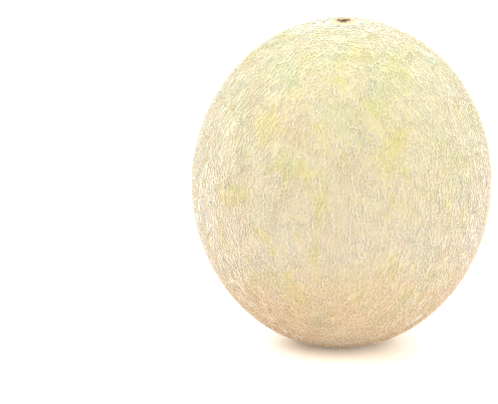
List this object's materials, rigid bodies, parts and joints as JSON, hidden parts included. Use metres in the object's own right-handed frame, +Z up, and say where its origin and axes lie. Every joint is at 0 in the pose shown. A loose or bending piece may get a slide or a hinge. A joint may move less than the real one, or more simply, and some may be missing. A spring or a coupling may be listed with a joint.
{
  "type": "cantaloupe melon",
  "caption": "Whole ripe cantaloupe melon, an upright oval with fine cork netting and a stalk scar, standing on a small flat spot at its blossom end.",
  "frame": {"origin": "on the floor, at the middle of the flat spot that the fruit rests on, under the middle of its bounding box", "axes": "+Z up, from the blossom end to the stem end; the stem scar sits a little off the axis, towards +X and -Y; -Y is the side that faces the viewer"},
  "size_m": [0.15, 0.1496, 0.1634],
  "materials": {
    "netted_rind": "matte cream cork netting over a yellow-green skin"
  },
  "bodies": {
    "root": {"melon": "netted_rind"}
  },
  "joints": []
}
